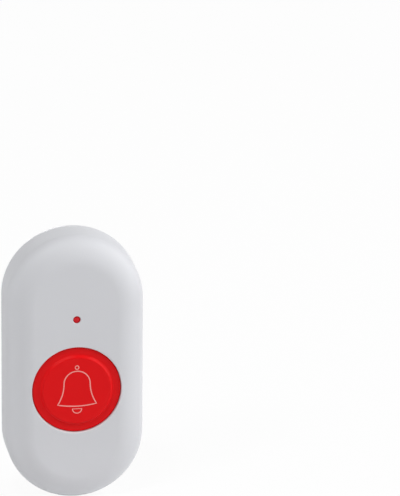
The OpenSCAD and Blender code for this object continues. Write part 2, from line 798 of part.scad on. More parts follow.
// Sheet metal clip that stands on the holder's floor and reaches over the cell's edge
module positive_contact() color("gold") on_wall() translate([0, cell_rise, 0]) {
    outer = holder_out_r - contact_inset;
    translate([-contact_w / 2, outer - contact_t, cell_back_z - contact_t])
        cube([contact_w, contact_t, holder_floor_z - cell_back_z + contact_t]);
    translate([-contact_w / 2, cell_d / 2 - contact_reach, cell_back_z - contact_t])
        cube([contact_w, outer - cell_d / 2 + contact_reach, contact_t]);
}

module cell_can() color("lightsteelblue") on_wall() translate([0, cell_rise, 0]) difference() {
    rod(cell_d / 2, cell_back_z, cell_rim_z);
    rod(cell_inner_r, cell_floor_z, cell_rim_z + over);
}

module cell_ring_seal() color("black") on_wall() translate([0, cell_rise, 0])
    tube(cell_cap_r, cell_inner_r, cell_floor_z, cell_rim_z);

module cell_cap() color("silver") on_wall() translate([0, cell_rise, 0])
    rod(cell_cap_r, cell_floor_z, cell_front_z);

// Radio parts on the back of the board, which hang from it towards the wall

module hung(place) translate([place[0], place[1], board_back_z]) mirror([0, 0, 1]) children();

module coding_chip() color("black") on_wall() hung(CHIP_AT)
    block([chip_l, chip_w], chip_lift, chip_lift + chip_h);

// Each lead lies on the board with its foot and rises at the chip's side
module chip_leads() color("silver") on_wall() hung(CHIP_AT)
    for (s = [-1, 1], i = [-1.5 : 1.5]) {
        translate([i * chip_pitch, s * (chip_w + lead_foot) / 2, 0]) block([lead_w, lead_foot], 0, lead_t);
        translate([i * chip_pitch, s * (chip_w + lead_t) / 2, 0]) block([lead_w, lead_t], 0, chip_h / 2);
    }

module resonator_base() color("goldenrod") on_wall() hung(RESONATOR_AT)
    rod(resonator_d / 2 + resonator_flange, 0, resonator_base_t);

module resonator_can() color("silver") on_wall() hung(RESONATOR_AT) translate([0, 0, resonator_base_t]) {
    flat_r = resonator_d / 2 - resonator_edge;
    edge_z = resonator_h - resonator_edge;
    rotate_extrude() {
        square([flat_r, resonator_h]);
        square([resonator_d / 2, edge_z]);
        intersection() {
            translate([flat_r, edge_z]) circle(resonator_edge);
            translate([flat_r, edge_z]) square(resonator_edge);
        }
    }
}

module radio_transistor() color("black") on_wall() hung(TRANSISTOR_AT)
    block([transistor_l, transistor_w], chip_lift, chip_lift + transistor_h);

module transistor_leads() color("silver") on_wall() hung(TRANSISTOR_AT)
    for (p = [[-transistor_pitch / 2, -1], [transistor_pitch / 2, -1], [0, 1]])
        translate([p[0], p[1] * (transistor_w + transistor_lead) / 2, 0])
            block([lead_w, transistor_lead], 0, transistor_h / 2);

module chip_capacitors() color("tan") on_wall() for (p = CAPACITORS)
    hung(p) block([smd_l - 2 * smd_cap, smd_w], 0, smd_h);

module chip_resistors() color("black") on_wall() for (p = RESISTORS)
    hung(p) block([smd_l - 2 * smd_cap, smd_w], 0, smd_h);

module chip_end_caps() color("silver") on_wall() for (p = concat(CAPACITORS, RESISTORS), s = [-1, 1])
    hung(p + [s * (smd_l - smd_cap) / 2, 0]) block([smd_cap, smd_w], 0, smd_h);

// Antenna: a helix whose ends run straight to the board
COIL_PATH = concat(
    [[coil_r, 0, board_back_z - antenna_z]],
    [for (i = [0 : coil_end * COIL_STEPS / 360])
        let (turn = i * 360 / COIL_STEPS)
            [coil_r * cos(turn), coil_pitch * turn / 360, -coil_r * sin(turn)]],
    [[-coil_r, coil_pitch * coil_end / 360, board_back_z - antenna_z]]
);

function unit(v) = v / norm(v);

// Direction of a path at one of its points
function heading(path, i) = unit(path[min(i + 1, len(path) - 1)] - path[max(i - 1, 0)]);

// A round wire along a path that winds about the y axis
module wire(path, r) {
    last = len(path) - 1;
    rings = [for (i = [0 : last])
        let (
            ahead = i == 0 || i == last ? [0, 0, i == 0 ? -1 : 1] : heading(path, i),
            out = unit(cross(ahead, [0, 1, 0])),
            side = cross(ahead, out)
        )
        for (k = [0 : COIL_SIDES - 1])
            let (a = k * 360 / COIL_SIDES)
                path[i] + r * (cos(a) * out + sin(a) * side)];
    skin = [for (i = [0 : last - 1], k = [0 : COIL_SIDES - 1])
        let (
            a = i * COIL_SIDES + k,
            b = i * COIL_SIDES + (k + 1) % COIL_SIDES
        )
        each [[a, a + COIL_SIDES, b], [b, a + COIL_SIDES, b + COIL_SIDES]]];
    caps = [for (k = [1 : COIL_SIDES - 2]) each [
        [0, k, k + 1],
        [last * COIL_SIDES, last * COIL_SIDES + k + 1, last * COIL_SIDES + k]
    ]];
    polyhedron(rings, concat(skin, caps));
}

// Least gap of the coil to itself, measured between points over half a turn apart
coil_gap = min([for (i = [0 : len(COIL_PATH) - 1], j = [i + COIL_STEPS / 2 : 1 : len(COIL_PATH) - 1])
    norm(COIL_PATH[i] - COIL_PATH[j])]) - coil_wire;
echo(antenna_least_gap_mm = coil_gap);

module antenna_coil() color("peru") on_wall() translate([antenna_x, -coil_drop, antenna_z])
    wire(COIL_PATH, coil_wire / 2);

rear_cover();
case_seal();
adhesive_pad();
front_shell();
lamp_lens();
return_dome();
button_cap();
bell_symbol();
circuit_board();
board_screws();
switch_housing();
switch_cover();
switch_plunger();
snap_disc();
switch_terminals();
signal_diode();
diode_window();
cell_holder();
negative_contact();
positive_contact();
cell_can();
cell_ring_seal();
cell_cap();
coding_chip();
chip_leads();
resonator_can();
resonator_base();
radio_transistor();
transistor_leads();
chip_capacitors();
chip_resistors();
chip_end_caps();
antenna_coil();
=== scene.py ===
import math

import bpy
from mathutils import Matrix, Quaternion, Vector


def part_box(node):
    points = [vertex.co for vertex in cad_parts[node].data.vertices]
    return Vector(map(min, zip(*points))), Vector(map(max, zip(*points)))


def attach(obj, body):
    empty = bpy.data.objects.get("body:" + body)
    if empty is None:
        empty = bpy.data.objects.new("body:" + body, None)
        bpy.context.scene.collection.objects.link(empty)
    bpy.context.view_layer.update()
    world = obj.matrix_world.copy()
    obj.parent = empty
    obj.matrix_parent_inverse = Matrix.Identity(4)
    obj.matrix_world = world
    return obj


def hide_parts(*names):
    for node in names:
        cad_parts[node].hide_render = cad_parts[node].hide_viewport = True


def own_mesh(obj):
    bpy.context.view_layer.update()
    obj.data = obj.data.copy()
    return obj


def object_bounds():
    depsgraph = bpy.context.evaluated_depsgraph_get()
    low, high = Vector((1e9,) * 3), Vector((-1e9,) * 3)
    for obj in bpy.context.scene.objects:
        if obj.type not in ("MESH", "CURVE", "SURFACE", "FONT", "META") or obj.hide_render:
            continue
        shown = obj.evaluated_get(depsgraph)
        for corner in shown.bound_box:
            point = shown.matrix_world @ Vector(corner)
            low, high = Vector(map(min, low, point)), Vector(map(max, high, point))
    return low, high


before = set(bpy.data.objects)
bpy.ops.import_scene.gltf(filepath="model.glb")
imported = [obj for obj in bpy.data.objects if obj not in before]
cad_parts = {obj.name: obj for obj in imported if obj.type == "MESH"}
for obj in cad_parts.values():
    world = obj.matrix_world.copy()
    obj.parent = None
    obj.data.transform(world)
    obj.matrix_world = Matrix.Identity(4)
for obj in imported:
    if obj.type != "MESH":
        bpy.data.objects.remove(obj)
cad_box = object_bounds()

# Adhesive pad
# A die-cut pill of white acrylic foam tape on the back, which sticks the button to a wall.
# Foam is matt and slightly cellular, and the cutting die leaves its edge a little rounded.

MM = 0.001
# Points closer together than this are merged.
weld = 0.001 * MM


def linear(code):
    """An sRGB hex colour as the linear colour that shaders take."""
    channels = [int(code[i:i + 2], 16) / 255 for i in (1, 3, 5)]
    return [c / 12.92 if c <= 0.04045 else ((c + 0.055) / 1.055) ** 2.4 for c in channels] + [1]


def add_node(tree, kind, settings, inputs):
    """A new node with its settings, whose inputs are values or other nodes' outputs."""
    node = tree.nodes.new(kind)
    for name, value in settings.items():
        setattr(node, name, value)
    for name, value in inputs.items():
        if isinstance(value, bpy.types.NodeSocket):
            tree.links.new(value, node.inputs[name])
        else:
            node.inputs[name].default_value = value
    return node


def new_finish(name, constants):
    """A material with these values on its shader, as material, node tree, shader and object coordinates."""
    finish = bpy.data.materials.new(name)
    finish.use_nodes = True
    shader = finish.node_tree.nodes["Principled BSDF"]
    for socket, value in constants.items():
        shader.inputs[socket].default_value = value
    coordinates = add_node(finish.node_tree, "ShaderNodeTexCoord", {}, {})
    return finish, finish.node_tree, shader, coordinates.outputs["Object"]


def tint_and_relief(tree, shader, tint, colours, height, strength, depth):
    """Lets one pattern drive a material's colour between two tones, and one drive its relief."""
    tone = add_node(tree, "ShaderNodeMix", {"data_type": "RGBA"}, {"Factor": tint})
    tone.inputs["A"].default_value = linear(colours[0])
    tone.inputs["B"].default_value = linear(colours[1])
    relief = add_node(tree, "ShaderNodeBump", {}, {
        "Height": height, "Strength": strength, "Distance": depth})
    tree.links.new(tone.outputs["Result"], shader.inputs["Base Color"])
    tree.links.new(relief.outputs["Normal"], shader.inputs["Normal"])


def arc(centre, radius, first, last, steps):
    """Points on an arc, with angles from the side of a piece, 0, to its front, 90 degrees."""
    turns = [math.radians(first + (last - first) * i / steps) for i in range(steps + 1)]
    return [(centre[0] + radius * math.cos(a), centre[1] - radius * math.sin(a)) for a in turns]


def select_where(piece, test):
    """Leaves the piece in edit mode with just the points selected that pass the test."""
    bpy.ops.object.mode_set(mode="EDIT")
    bpy.ops.mesh.select_mode(type="VERT")
    bpy.ops.mesh.select_all(action="DESELECT")
    bpy.ops.object.mode_set(mode="OBJECT")
    for point in piece.data.vertices:
        point.select = test(point.co)
    bpy.ops.object.mode_set(mode="EDIT")


def draw_line(name, points):
    """A new object in edit mode: a plane merged to one point, which is extruded along the points."""
    bpy.ops.object.select_all(action="DESELECT")
    bpy.ops.mesh.primitive_plane_add(size=MM)
    piece = bpy.context.object
    piece.name = piece.data.name = name
    bpy.ops.object.mode_set(mode="EDIT")
    bpy.ops.mesh.select_all(action="SELECT")
    bpy.ops.mesh.merge(type="CENTER")
    bpy.ops.transform.translate(value=points[0])
    for here, there in zip(points, points[1:]):
        step = [b - a for a, b in zip(here, there)]
        bpy.ops.mesh.extrude_vertices_move(TRANSFORM_OT_translate={"value": step})
    return piece


def close_up():
    """Merges the seams of the mesh in edit mode, turns its faces outwards and leaves edit mode."""
    bpy.ops.mesh.select_all(action="SELECT")
    bpy.ops.mesh.remove_doubles(threshold=weld)
    bpy.ops.mesh.normals_make_consistent(inside=False)
    bpy.ops.object.mode_set(mode="OBJECT")


def apply_modifier(piece, kind, **settings):
    """Gives the piece a modifier with these settings and applies it."""
    modifier = piece.modifiers.new(kind.title(), kind)
    for name, value in settings.items():
        setattr(modifier, name, value)
    bpy.context.view_layer.objects.active = piece
    bpy.ops.object.modifier_apply(modifier=modifier.name)


def sweep_pill(name, outline, half):
    """Spins a half outline of radius and depth round the top end, draws it down the side and mirrors it."""
    end_steps = 72
    piece = draw_line(name, [(r, y, half) for r, y in outline])
    bpy.ops.mesh.select_all(action="SELECT")
    bpy.ops.mesh.spin(steps=end_steps, angle=math.pi, center=(0, 0, half), axis=(0, 1, 0))
    close_up()
    select_where(piece, lambda co: abs(co.z - half) < weld)
    bpy.ops.mesh.extrude_region_move(TRANSFORM_OT_translate={"value": (0, 0, -half)})
    bpy.ops.object.mode_set(mode="OBJECT")
    apply_modifier(piece, "MIRROR", use_axis=(False, False, True), merge_threshold=weld)
    bpy.ops.object.mode_set(mode="EDIT")
    close_up()
    return piece


def smooth(piece, degrees=35):
    """Smooth shading that keeps edges, with the broad flat faces setting the direction at their rims."""
    bpy.ops.object.select_all(action="DESELECT")
    piece.select_set(True)
    bpy.context.view_layer.objects.active = piece
    bpy.ops.object.shade_smooth_by_angle(angle=math.radians(degrees))
    apply_modifier(piece, "WEIGHTED_NORMAL", keep_sharp=True)


def dress(piece, finish, body, slot, *nodes):
    """Gives a new piece its material and its body, and hides the nodes it stands for. The slot is not used.
    """
    piece.data.materials.clear()
    piece.data.materials.append(finish)
    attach(piece, body)
    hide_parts(*nodes)


pad_low, pad_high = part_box("adhesive_pad")
pad_r = pad_high.x
pad_edge = 0.2 * MM
pad = sweep_pill(
    "foam_pad",
    [(0, pad_low.y)]
    + arc((pad_r - pad_edge, pad_low.y + pad_edge), pad_edge, 90, 0, 4)
    + [(pad_r, pad_high.y), (0, pad_high.y)],
    pad_high.z - pad_r,
)
smooth(pad)


def acrylic_foam():
    """Acrylic foam tape: dull white, with fine closed cells that give a soft mottled grain."""
    finish, tree, shader, place = new_finish("acrylic_foam", {"Roughness": 0.8, "IOR": 1.48})
    cell_size = 0.5 * MM
    cell_depth = 0.05 * MM
    cells = add_node(tree, "ShaderNodeTexVoronoi", {}, {"Vector": place, "Scale": 1 / cell_size})
    depths = cells.outputs["Distance"]
    tint_and_relief(
        tree, shader, depths, ("#ECEBE6", "#DDDCD6"), depths, strength=0.4, depth=cell_depth)
    return finish


dress(pad, acrylic_foam(), "wall_plate", "pad_foam", "adhesive_pad")

# Rear cover
# The back of the case, injection moulded in white ABS: a shallow tray with a rounded back edge and a lip
# that the front snaps onto. Two bosses take countersunk wall screws, and a notch takes a pry tool.


def turned(name, outline, centre, steps=96):
    """Spins an outline of radius and depth all round an axis that runs from front to back."""
    x, z = centre
    piece = draw_line(name, [(x + r, y, z) for r, y in outline])
    bpy.ops.mesh.select_all(action="SELECT")
    bpy.ops.mesh.spin(steps=steps, angle=2 * math.pi, center=(x, 0, z), axis=(0, 1, 0))
    close_up()
    return piece


def block(name, low, high, edge=0, segments=3):
    """A cube drawn out to these corners, with its edges rounded where a radius is given."""
    bpy.ops.object.select_all(action="DESELECT")
    bpy.ops.mesh.primitive_cube_add(size=1)
    piece = bpy.context.object
    piece.name = piece.data.name = name
    bpy.ops.object.mode_set(mode="EDIT")
    bpy.ops.mesh.select_all(action="SELECT")
    bpy.ops.transform.resize(value=[b - a for a, b in zip(low, high)])
    bpy.ops.transform.translate(value=[(a + b) / 2 for a, b in zip(low, high)])
    if edge:
        bpy.ops.mesh.bevel(offset=edge, segments=segments, affect="EDGES")
    bpy.ops.object.mode_set(mode="OBJECT")
    return piece


def join(pieces, name):
    """Makes several meshes one object."""
    bpy.ops.object.select_all(action="DESELECT")
    for piece in pieces:
        piece.select_set(True)
    bpy.context.view_layer.objects.active = pieces[0]
    bpy.ops.object.join()
    pieces[0].name = pieces[0].data.name = name
    return pieces[0]


def combine(piece, operation, tools):
    """Adds the tools to the piece or cuts them away in one go, and clears the slivers that this leaves."""
    sliver = 0.002 * MM
    several = len(tools) > 1
    tool = join(tools, "tools")
    apply_modifier(piece, "BOOLEAN", object=tool, operation=operation, solver="EXACT", use_self=several)
    bpy.data.meshes.remove(tool.data)
    bpy.ops.object.mode_set(mode="EDIT")
    bpy.ops.mesh.select_all(action="SELECT")
    bpy.ops.mesh.remove_doubles(threshold=sliver)
    bpy.ops.mesh.dissolve_degenerate(threshold=sliver)
    bpy.ops.object.mode_set(mode="OBJECT")


cover_low, cover_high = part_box("rear_cover")
case_r = cover_high.x
case_half = cover_high.z - case_r
back_y = cover_high.y
lip_y = cover_low.y
parting_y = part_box("front_shell")[1].y
cover_t = 1.8 * MM
cover_in_y = back_y - cover_t
cover_round = 2.6 * MM
lip_out_r = 17.8 * MM
lip_in_r = 16.6 * MM
lip_edge = 0.25 * MM
seam = 0.15 * MM
seal_low, seal_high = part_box("case_seal")
groove_depth = 0.6 * MM
groove_r = lip_out_r - groove_depth

cover = sweep_pill(
    "back_cover",
    [(0, back_y)]
    + arc((case_r - cover_round, back_y - cover_round), cover_round, -90, 0, 10)
    + [
        (case_r, parting_y + seam),
        (case_r - seam, parting_y),
        (lip_out_r, parting_y),
        (lip_out_r, seal_high.y),
        (groove_r, seal_high.y),
        (groove_r, seal_low.y),
        (lip_out_r, seal_low.y),
    ]
    + arc((lip_out_r - lip_edge, lip_y + lip_edge), lip_edge, 0, 90, 4)
    + arc((lip_in_r + lip_edge, lip_y + lip_edge), lip_edge, 90, 180, 4)
    + [(lip_in_r, cover_in_y), (0, cover_in_y)],
    case_half,
)

# A tool runs this far past the face that it joins or cuts.
overrun = 1 * MM
screw_z = 29 * MM
hole_r = 2 * MM
head_r = 3.7 * MM
boss_r = 5 * MM
boss_h = 0.8 * MM
boss_y = cover_in_y - boss_h
combine(cover, "UNION", [
    turned(
        "screw_boss",
        [(0, cover_in_y + overrun), (boss_r, cover_in_y + overrun)]
        + arc((boss_r - lip_edge, boss_y + lip_edge), lip_edge, 0, 90, 4)
        + [(0, boss_y)],
        (0, z),
    )
    for z in (-screw_z, screw_z)
])
bead_half = 3.5 * MM
bead_y = -6.4 * MM
bead_h = 0.7 * MM
bead_root = 0.5 * MM
bead_proud = 0.15 * MM
bead_edge = 0.12 * MM
bead_in = lip_out_r - bead_root
bead_out = lip_out_r + bead_proud
bead_z = 11 * MM
bead_places = [(side, z) for side in (-1, 1) for z in (-bead_z, bead_z)]
combine(cover, "UNION", [
    block(
        "snap_bead",
        (min(side * bead_in, side * bead_out), bead_y, z - bead_half),
        (max(side * bead_in, side * bead_out), bead_y + bead_h, z + bead_half),
        bead_edge,
    )
    for side, z in bead_places
])
notch_half = 4.5 * MM
notch_h = 1 * MM
notch_depth = 1.5 * MM
notch_edge = 0.3 * MM
combine(cover, "DIFFERENCE", [
    turned(
        "screw_hole",
        [
            (0, back_y + overrun),
            (hole_r, back_y + overrun),
            (hole_r, boss_y + head_r - hole_r),
            (head_r + overrun, boss_y - overrun),
            (0, boss_y - overrun),
        ],
        (0, z),
    )
    for z in (-screw_z, screw_z)
] + [
    block(
        "pry_notch",
        (-notch_half, parting_y - overrun / 2, cover_low.z - overrun),
        (notch_half, parting_y + notch_h, cover_low.z + notch_depth),
        notch_edge,
    )
])
smooth(cover)


def moulded_plastic(name, colours, constants, grain, depth):
    """A moulded plastic: nearly even colour with a faint drift, and the mould's fine spark-eroded grain,
    which breaks highlights up softly. The grain is finer than the render shows, so it is drawn coarser."""
    finish, tree, shader, place = new_finish(name, constants)
    drift_size = 30 * MM
    drift = add_node(tree, "ShaderNodeTexNoise", {}, {
        "Vector": place, "Scale": 1 / drift_size, "Detail": 2})
    speckle = add_node(tree, "ShaderNodeTexNoise", {}, {
        "Vector": place, "Scale": 1 / grain, "Detail": 3})
    tint_and_relief(
        tree, shader, drift.outputs["Fac"], colours, speckle.outputs["Fac"], strength=0.5, depth=depth)
    return finish


# White ABS with a fine satin grain: even grey-white, with broad soft highlights.
white_abs = moulded_plastic(
    "white_abs", ("#D3D4D8", "#D0D1D5"), {"Roughness": 0.52, "IOR": 1.53},
    grain=0.35 * MM, depth=0.004 * MM)
dress(cover, white_abs, "wall_plate", "white_abs", "rear_cover")

# Case seal
# A band of grey silicone rubber that lies stretched in the lip's groove and keeps water out of the case.
# It is moulded with a rounded outer face, which the front shell squeezes.

seal_r = seal_high.x
seal_crown = 0.3 * MM
seal = sweep_pill(
    "seal_band",
    [(groove_r, seal_high.y), (seal_r - seal_crown, seal_high.y)]
    + arc((seal_r - seal_crown, seal_high.y - seal_crown), seal_crown, -90, 0, 5)
    + arc((seal_r - seal_crown, seal_low.y + seal_crown), seal_crown, 0, 90, 5)
    + [(groove_r, seal_low.y), (groove_r, seal_high.y)],
    case_half,
)
smooth(seal)
# Silicone rubber: dull dark grey with a faint bloom.
grey_silicone = moulded_plastic(
    "grey_silicone", ("#6B6C70", "#606165"), {"Roughness": 0.62, "IOR": 1.43},
    grain=0.4 * MM, depth=0.004 * MM)
dress(seal, grey_silicone, "wall_plate", "seal_silicone", "case_seal")

# Front shell
# The visible pill-shaped case front, injection moulded in white ABS. Its edge rolls over from a broad crown
# to a tight side, and inside it carries the button's guide collar, the lamp's sleeve and four board posts.

face_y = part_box("front_shell")[0].y
wall = 2 * MM
side_round = 4.5 * MM
crown_round = 10 * MM
blend_angle = 50
roll_steps = 14
side_x = case_r - side_round
crown_x = side_x - (crown_round - side_round) * math.cos(math.radians(blend_angle))
crown_y = face_y + crown_round
side_y = crown_y - (crown_round - side_round) * math.sin(math.radians(blend_angle))


def rolled_edge(inset):
    """The front's edge from its face round to its side, taken in by an inset."""
    return (
        arc((crown_x, crown_y), crown_round - inset, 90, blend_angle, roll_steps)
        + arc((side_x, side_y), side_round - inset, blend_angle, 0, roll_steps)[1:]
    )


shell = sweep_pill(
    "front_case",
    [(0, face_y)]
    + rolled_edge(0)
    + [(case_r, parting_y - seam), (case_r - seam, parting_y), (case_r - wall, parting_y)]
    + rolled_edge(wall)[::-1]
    + [(0, face_y + wall)],
    case_half,
)


def rod(radius, first_y, last_y):
    """The outline of a plain round rod."""
    return [(0, first_y), (radius, first_y), (radius, last_y), (0, last_y)]


button_z = -5.5 * MM
button_axis = (0, button_z)
opening_r = 13 * MM
collar_r = 14.5 * MM
collar_y = -11.4 * MM
opening_edge = 0.35 * MM
lamp_axis = (0, 15.9 * MM)
lamp_hole_r = 1.1 * MM
lamp_edge = 0.25 * MM
sleeve_wall = 1 * MM
seat_r = 1.9 * MM
seat_depth = 0.8 * MM
seat_y = face_y + wall + seat_depth
post_x, post_z = 11.5 * MM, 25 * MM
post_axes = [(x, z) for x in (-post_x, post_x) for z in (-post_z, post_z)]
post_r = 2.4 * MM
pilot_r = 0.97 * MM
pilot_end_y = -12.45 * MM
board_low, board_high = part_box("circuit_board")
inside_y = face_y + wall / 2
combine(shell, "UNION", [
    turned("button_collar", rod(collar_r, inside_y, collar_y), button_axis),
    turned("lamp_sleeve", rod(seat_r + sleeve_wall, inside_y, seat_y), lamp_axis),
] + [
    turned("board_post", rod(post_r, inside_y, board_low.y), axis, steps=48)
    for axis in post_axes
])

quarter_turn = [math.radians(15 * i) for i in range(7)]


def opening(radius, edge, depth_y):
    """The outline of a round cutter whose mouth flares, so that the hole's edge comes out rounded."""
    return [(0, face_y - overrun), (radius + edge, face_y - overrun)] + [
        (radius + edge - edge * math.sin(a), face_y + edge - edge * math.cos(a))
        for a in quarter_turn
    ] + [(radius, depth_y), (0, depth_y)]


def sector(name, outline, centre, middle, span):
    """Spins a closed outline of radius and depth part of the way round an axis from front to back."""
    sector_steps = 16
    x, z = centre
    first = math.radians(middle - span / 2)
    piece = draw_line(
        name,
        [(x + r * math.cos(first), y, z + r * math.sin(first)) for r, y in outline + outline[:1]],
    )
    bpy.ops.mesh.select_all(action="SELECT")
    bpy.ops.mesh.remove_doubles(threshold=weld)
    bpy.ops.mesh.spin(steps=sector_steps, angle=math.radians(span), center=(x, 0, z), axis=(0, 1, 0))
    bpy.ops.mesh.select_all(action="SELECT")
    bpy.ops.mesh.fill_holes(sides=0)
    close_up()
    return piece


hook_angles = (90, 210, 330)
hook_span, hook_play = 30, 2
hook_y = -12.5 * MM
hook_gap = 0.1 * MM
catch_y = hook_y - hook_gap
window_low, window_high = -6.6 * MM, -5.5 * MM
window_half = 3.7 * MM
window_depth = 0.3 * MM
window_reach = case_r - wall + window_depth
combine(shell, "DIFFERENCE", [
    turned("button_opening", opening(opening_r, opening_edge, collar_y + overrun), button_axis, steps=192),
    turned("lamp_opening", opening(lamp_hole_r, lamp_edge, seat_y + overrun), lamp_axis, steps=64),
    turned("lamp_seat", rod(seat_r, face_y + wall, seat_y + overrun), lamp_axis, steps=64),
] + [
    turned("screw_pilot", rod(pilot_r, board_low.y + overrun, pilot_end_y), axis, steps=32)
    for axis in post_axes
] + [
    sector(
        "hook_window",
        [
            (opening_r - overrun, collar_y + overrun),
            (collar_r + overrun, collar_y + overrun),
            (collar_r + overrun, catch_y),
            (opening_r - overrun, catch_y),
        ],
        button_axis,
        angle,
        hook_span + 2 * hook_play,
    )
    for angle in hook_angles
] + [
    block(
        "snap_window",
        (min(0, side * window_reach), window_low, z - window_half),
        (max(0, side * window_reach), window_high, z + window_half),
    )
    for side, z in bead_places
])
smooth(shell)
dress(shell, white_abs, "front_unit", "white_abs", "front_shell")

# Lamp lens
# A red light pipe of polycarbonate, pushed into its hole from inside until its flange meets the case.
# Its polished tip lies just below the face and is slightly domed.

lens_low, lens_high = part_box("lamp_lens")
lens_r = 1.05 * MM
flange_r = 1.85 * MM
tip_r = 2 * MM
tip_turn = math.degrees(math.asin(lens_r / tip_r))
lens = turned(
    "red_light_pipe",
    arc((0, lens_low.y + tip_r), tip_r, 90, 90 - tip_turn, 8)
    + [
        (lens_r, face_y + wall),
        (flange_r, face_y + wall),
        (flange_r, seat_y),
        (lens_r, seat_y),
        (lens_r, lens_high.y),
        (0, lens_high.y),
    ],
    lamp_axis,
    steps=64,
)
smooth(lens)
# Red tinted polycarbonate: a deep red that glows where light passes through it, under a polished skin.
red_polycarbonate = moulded_plastic(
    "red_polycarbonate", ("#DC1420", "#D2101C"),
    {"Roughness": 0.2, "IOR": 1.58, "Specular IOR Level": 0.15, "Transmission Weight": 0.06},
    grain=0.3 * MM, depth=0.001 * MM)
dress(lens, red_polycarbonate, "front_unit", "red_lens", "lamp_lens")

# Button cap
# The round push button, injection moulded in red ABS: a raised disc, a soft step and a lower outer ring.
# Its skirt runs in the case's collar, three hooks keep it in, and a post under it presses the dome.

cap_low, cap_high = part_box("button_cap")
disc_rise = 0.8 * MM
disc_y = cap_low.y
ring_y = disc_y + disc_rise
skirt_y = cap_high.y
cap_r = 12.92 * MM
cap_t = 1.6 * MM
cap_edge = 0.4 * MM
disc_r = 9.7 * MM
step_w = 1.2 * MM
step_r = disc_r + step_w
# The step is a straight slope at this angle between two fillets that run smoothly into it.
step_turn = 56
slope_w = (ring_y - disc_y) / math.tan(math.radians(step_turn))
step_arc = (step_w - slope_w) / 2 / math.tan(math.radians(step_turn / 2))
button_post_y = -14.1 * MM
button_post_r = 3.5 * MM
cap = turned(
    "red_button",
    [(0, disc_y)]
    + arc((disc_r, disc_y + step_arc), step_arc, 90, 90 - step_turn, 10)
    + arc((step_r, ring_y - step_arc), step_arc, 270 - step_turn, 270, 10)[1:]
    + arc((cap_r - cap_edge, ring_y + cap_edge), cap_edge, 90, 0, 8)
    + [
        (cap_r, skirt_y),
        (cap_r - cap_t, skirt_y),
        (cap_r - cap_t, ring_y + cap_t),
        (disc_r - cap_t, ring_y + cap_t),
        (disc_r - cap_t, disc_y + cap_t),
        (button_post_r, disc_y + cap_t),
        (button_post_r, button_post_y),
        (0, button_post_y),
    ],
    button_axis,
    steps=192,
)
hook_reach = 0.68 * MM
combine(cap, "UNION", [
    sector(
        "retaining_hook",
        [
            (cap_r - cap_t / 2, skirt_y),
            (cap_r + hook_reach, skirt_y),
            (cap_r + hook_reach, hook_y),
            (cap_r - cap_t / 2, hook_y),
        ],
        button_axis,
        angle,
        hook_span,
    )
    for angle in hook_angles
])
smooth(cap)
# Red ABS with a satin polish: saturated red, with a soft sheen along its step.
red_abs = moulded_plastic(
    "red_abs", ("#E20A10", "#DE080E"), {"Roughness": 0.34, "IOR": 1.53, "Specular IOR Level": 0.12},
    grain=0.35 * MM, depth=0.002 * MM)
dress(cap, red_abs, "button", "red_abs", "button_cap")

# Bell symbol
# A bell pictogram in pale plastic lines, inlaid in the disc and standing a hair proud of it.
# It is a bell outline with a curved mouth, a loop on top and a half-round clapper below.

symbol_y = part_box("bell_symbol")[0].y
bell_top_r = 3.8 * MM
bell_top = 2.1 * MM
bell_mouth = 5.65 * MM
bell_drop = 4.2 * MM
bell_sag = 0.6 * MM
line_w = 0.34 * MM
thin_line_w = 0.28 * MM
run, fall = bell_mouth - bell_top_r, bell_top + bell_drop
flare_r = (run ** 2 + fall ** 2) / (2 * run)
flare_turn = math.degrees(math.asin(fall / flare_r))
mouth_r = (bell_mouth ** 2 + bell_sag ** 2) / (2 * bell_sag)
mouth_turn = math.degrees(math.asin(bell_mouth / mouth_r))
loop_r = 0.53 * MM
loop_rise = 7.01 * MM
clapper_r = 1.35 * MM
clapper_rise = -5.6 * MM


def thicken(radius, ends):
    """Gives the line in edit mode a round section, with or without end faces, all selected."""
    bpy.ops.object.mode_set(mode="OBJECT")
    bpy.ops.object.convert(target="CURVE")
    stroke = bpy.context.object.data
    stroke.bevel_depth = radius
    stroke.bevel_resolution = 3
    stroke.use_fill_caps = ends
    bpy.ops.object.convert(target="MESH")
    bpy.ops.object.mode_set(mode="EDIT")
    bpy.ops.mesh.select_all(action="SELECT")
    return bpy.context.object


def symbol_line(name, outline, width):
    """A closed line of the symbol: drawn, given a round section and flattened onto the disc."""
    draw_line(name, [(x, disc_y, button_z - y) for x, y in outline + outline[:1]])
    bpy.ops.mesh.select_all(action="SELECT")
    bpy.ops.mesh.remove_doubles(threshold=weld)
    line = thicken(width / 2, ends=False)
    proud = (disc_y - symbol_y) / (width / 2)
    bpy.ops.transform.resize(value=(1, proud, 1), center_override=(0, disc_y, 0))
    close_up()
    return line


right_side = (
    arc((0, -bell_top), bell_top_r, 90, 0, 16)
    + arc((bell_top_r + flare_r, -bell_top), flare_r, 180, 180 + flare_turn, 12)[1:]
    + arc((0, bell_drop + bell_sag - mouth_r), mouth_r, -90 + mouth_turn, -90, 8)[1:]
)
left_side = [(-x, y) for x, y in right_side[-2:0:-1]]
symbol = join([
    symbol_line("bell_outline", right_side + left_side, line_w),
    symbol_line("bell_loop", arc((0, -loop_rise), loop_r, 0, 345, 23), thin_line_w),
    symbol_line("bell_clapper", arc((0, -clapper_rise), clapper_r, 0, -180, 20), thin_line_w),
], "bell_inlay")
smooth(symbol, degrees=60)
# Pale ABS inlay: a warm pale pink, as thin white plastic looks with red showing through it.
pale_abs = moulded_plastic(
    "pale_abs", ("#EE9C96", "#EC9690"), {"Roughness": 0.4, "IOR": 1.53},
    grain=0.35 * MM, depth=0.002 * MM)
dress(symbol, pale_abs, "button", "symbol_white", "bell_symbol")

# Return dome
# A dome of pale silicone rubber that springs the button back and keeps water off the switch.
# It is moulded in one piece: a flat foot, a thin sloping wall that buckles, and a thick top.

